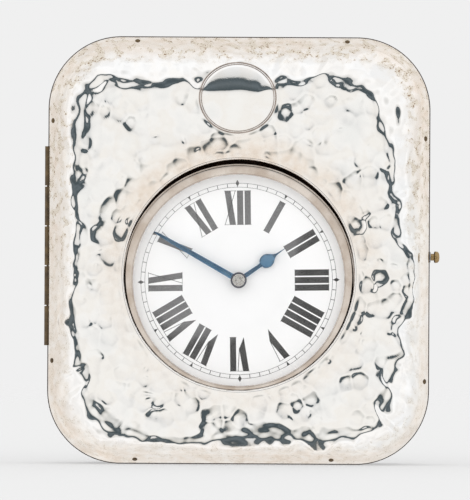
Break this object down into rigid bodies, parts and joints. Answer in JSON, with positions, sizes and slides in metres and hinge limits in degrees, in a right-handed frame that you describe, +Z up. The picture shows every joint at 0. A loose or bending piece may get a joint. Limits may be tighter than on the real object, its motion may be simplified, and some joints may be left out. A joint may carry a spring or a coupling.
{
  "type": "goliath pocket watch",
  "caption": "Large keyless pocket watch in a standing travelling case with a hammered silver front, round window, leather tray, side hinge, push-button catch and easel strut.",
  "frame": {"origin": "middle of the flat bottom edge that the case stands on, in the plane of the winding stem's axis", "axes": "+X to the right seen from the front, +Z up, -Y out of the dial towards the viewer"},
  "size_m": [0.104, 0.035, 0.1126],
  "materials": {
    "leather": "grained, dark brown",
    "wood": "plain, unpolished",
    "velvet": "short pile",
    "silver": "polished and hammered silver",
    "nickel": "polished nickel",
    "gilt_brass": "gilt, satin",
    "brass": "aged, polished",
    "steel": "fine ground",
    "blued_steel": "heat blued, polished",
    "enamel": "gloss white enamel",
    "glass": "clear, polished"
  },
  "bodies": {
    "tray": {"tray_leather": "leather", "tray_body": "wood", "tray_lining": "velvet", "hinge_leaf_tray": "brass", "hinge_pin": "steel", "strut_leaf_fixed": "brass", "strut_pin": "steel", "button_collar": "steel", "button_spring": "steel", "watch_band": "nickel", "watch_bezel": "nickel", "crystal": "glass", "dial": "enamel", "dust_cover": "gilt_brass", "back_cover": "nickel", "pendant": "nickel", "main_plate": "gilt_brass", "top_plate": "gilt_brass", "balance_cock": "gilt_brass"},
    "cover": {"silver_front": "silver", "silver_pin_top_1": "silver", "silver_pin_top_2": "silver", "silver_pin_bottom_1": "silver", "silver_pin_bottom_2": "silver", "silver_pin_left_1": "silver", "silver_pin_left_2": "silver", "silver_pin_right_1": "silver", "silver_pin_right_2": "silver", "cover_frame": "wood", "cover_lining": "velvet", "hinge_leaf_cover": "brass", "strike_plate": "brass"},
    "strut": {"strut_board": "leather", "strut_leaf_moving": "brass"},
    "catch": {"push_button": "brass", "catch_bar": "steel"},
    "bow": {"bow": "nickel"},
    "minute_train": {"minute_hand": "blued_steel", "cannon_pinion": "steel", "centre_wheel": "gilt_brass"},
    "hour_train": {"hour_hand": "blued_steel", "hour_wheel": "gilt_brass"},
    "minute_wheel": {"minute_wheel": "gilt_brass"},
    "barrel": {"barrel": "gilt_brass", "mainspring": "steel"},
    "third_wheel": {"third_wheel": "gilt_brass"},
    "fourth_wheel": {"fourth_wheel": "gilt_brass"},
    "escape_wheel": {"escape_wheel": "steel"},
    "pallet_fork": {"pallet_fork": "steel"},
    "balance": {"balance_wheel": "gilt_brass", "hairspring": "blued_steel"},
    "crown": {"crown": "nickel", "winding_stem": "steel", "winding_pinion": "steel"},
    "crown_wheel": {"crown_wheel": "steel"},
    "ratchet": {"ratchet_wheel": "steel", "barrel_arbor": "steel"}
  },
  "joints": [
    {"name": "cover_hinge", "type": "hinge", "parent": "tray", "child": "cover", "pos_m": [-0.0502, -0.0056, 0.0573], "axis": [0, 0, -1], "range_deg": [0, 165]},
    {"name": "strut_hinge", "type": "hinge", "parent": "tray", "child": "strut", "pos_m": [0, 0.01565, 0.0925], "axis": [1, 0, 0], "range_deg": [0, 35]},
    {"name": "button_press", "type": "slide", "parent": "tray", "child": "catch", "axis": [-1, 0, 0], "range_m": [0, 0.0007], "stiffness_N_per_m": 600, "deforming": ["button_spring"]},
    {"name": "bow_pivot", "type": "hinge", "parent": "tray", "child": "bow", "pos_m": [0, 0, 0.0874], "axis": [1, 0, 0], "range_deg": [-12, 12]},
    {"name": "minute_hand_turn", "type": "hinge", "parent": "tray", "child": "minute_train", "pos_m": [0, 0, 0.0485], "axis": [0, 1, 0], "continuous": true},
    {"name": "hour_hand_turn", "type": "hinge", "parent": "tray", "child": "hour_train", "pos_m": [0, 0, 0.0485], "axis": [0, 1, 0], "continuous": true},
    {"name": "minute_wheel_turn", "type": "hinge", "parent": "tray", "child": "minute_wheel", "pos_m": [-0.003, 0, 0.05369], "axis": [0, 1, 0], "continuous": true},
    {"name": "barrel_turn", "type": "hinge", "parent": "tray", "child": "barrel", "pos_m": [0.00867, 0, 0.05885], "axis": [0, 1, 0], "continuous": true},
    {"name": "third_wheel_turn", "type": "hinge", "parent": "tray", "child": "third_wheel", "pos_m": [-0.00845, 0, 0.04543], "axis": [0, 1, 0], "continuous": true},
    {"name": "fourth_wheel_turn", "type": "hinge", "parent": "tray", "child": "fourth_wheel", "pos_m": [-0.00714, 0, 0.03807], "axis": [0, 1, 0], "continuous": true},
    {"name": "escape_wheel_turn", "type": "hinge", "parent": "tray", "child": "escape_wheel", "pos_m": [-0.00183, 0, 0.03362], "axis": [0, 1, 0], "continuous": true},
    {"name": "pallet_fork_rock", "type": "hinge", "parent": "tray", "child": "pallet_fork", "pos_m": [0.00375, 0, 0.03511], "axis": [0, 1, 0], "range_deg": [-5, 5]},
    {"name": "balance_swing", "type": "hinge", "parent": "tray", "child": "balance", "pos_m": [0.01013, 0, 0.03681], "axis": [0, 1, 0], "range_deg": [-250, 250], "stiffness_Nm_per_rad": 0.000016},
    {"name": "crown_turn", "type": "hinge", "parent": "tray", "child": "crown", "pos_m": [0, 0, 0.0932], "axis": [0, 0, 1], "continuous": true},
    {"name": "crown_wheel_turn", "type": "hinge", "parent": "tray", "child": "crown_wheel", "pos_m": [0, 0, 0.06895], "axis": [0, 1, 0], "continuous": true},
    {"name": "ratchet_turn", "type": "hinge", "parent": "tray", "child": "ratchet", "pos_m": [0.00867, 0, 0.05885], "axis": [0, 1, 0], "continuous": true}
  ],
  "couplings": [
    {"joint": "hour_hand_turn", "follows": "minute_hand_turn", "ratio": 0.083333},
    {"joint": "minute_wheel_turn", "follows": "minute_hand_turn", "ratio": -0.33333},
    {"joint": "barrel_turn", "follows": "minute_hand_turn", "ratio": -0.125},
    {"joint": "third_wheel_turn", "follows": "minute_hand_turn", "ratio": -8},
    {"joint": "fourth_wheel_turn", "follows": "minute_hand_turn", "ratio": 60},
    {"joint": "escape_wheel_turn", "follows": "minute_hand_turn", "ratio": -600},
    {"joint": "crown_wheel_turn", "follows": "crown_turn", "ratio": -0.42857},
    {"joint": "ratchet_turn", "follows": "crown_turn", "ratio": 0.25}
  ]
}
